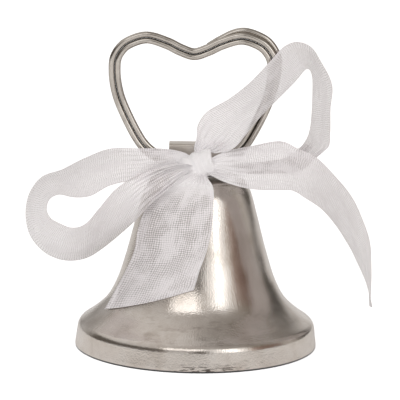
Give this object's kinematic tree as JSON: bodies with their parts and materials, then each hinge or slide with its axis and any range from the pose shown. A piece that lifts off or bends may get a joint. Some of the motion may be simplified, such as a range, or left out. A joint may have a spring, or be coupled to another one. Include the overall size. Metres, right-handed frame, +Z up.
{
  "type": "bell card holder",
  "caption": "Small polished bell with a swinging clapper, a heart of doubled wire on top that grips a card, and an organza bow tied at its neck.",
  "frame": {"origin": "on the bell's axis, in the plane of the mouth that it stands on", "axes": "+Z up along the bell's axis, +X across the heart to the right seen from the front, and -Y towards the front, where the bow's knot is"},
  "size_m": [0.0744, 0.0508, 0.0673],
  "materials": {
    "polished_nickel": "polished warm nickel plate on stamped sheet, with soft drawing marks",
    "wire_nickel": "bright nickel-plated spring wire with fine drawn lines",
    "strap_nickel": "plated sheet strap, satin face and bright sheared edges",
    "rivet_steel": "plain steel, slightly dulled",
    "clapper_steel": "steel wire and a turned ball, lightly brushed",
    "organza": "sheer white organza ribbon with an open plain weave and a soft sheen"
  },
  "bodies": {
    "root": {"bell_shell": "polished_nickel", "crown_strap": "strap_nickel", "hanger_rivet": "rivet_steel", "crown_washer": "rivet_steel", "heart_wire": "wire_nickel", "ribbon_knot": "organza", "ribbon_neck_wrap": "organza", "ribbon_left_loop": "organza", "ribbon_right_loop": "organza", "ribbon_right_tail": "organza", "ribbon_front_tail": "organza"},
    "link": {"clapper_link": "clapper_steel"},
    "clapper": {"clapper_rod": "clapper_steel", "clapper_ball": "clapper_steel"}
  },
  "joints": [
    {"name": "link_swing", "type": "hinge", "parent": "root", "child": "link", "pos_m": [0, 0, 0.0294], "axis": [1, 0, 0], "range_deg": [-33, 33]},
    {"name": "clapper_swing", "type": "hinge", "parent": "link", "child": "clapper", "pos_m": [0, 0, 0.0256], "axis": [0, 1, 0], "range_deg": [-14, 14]}
  ]
}
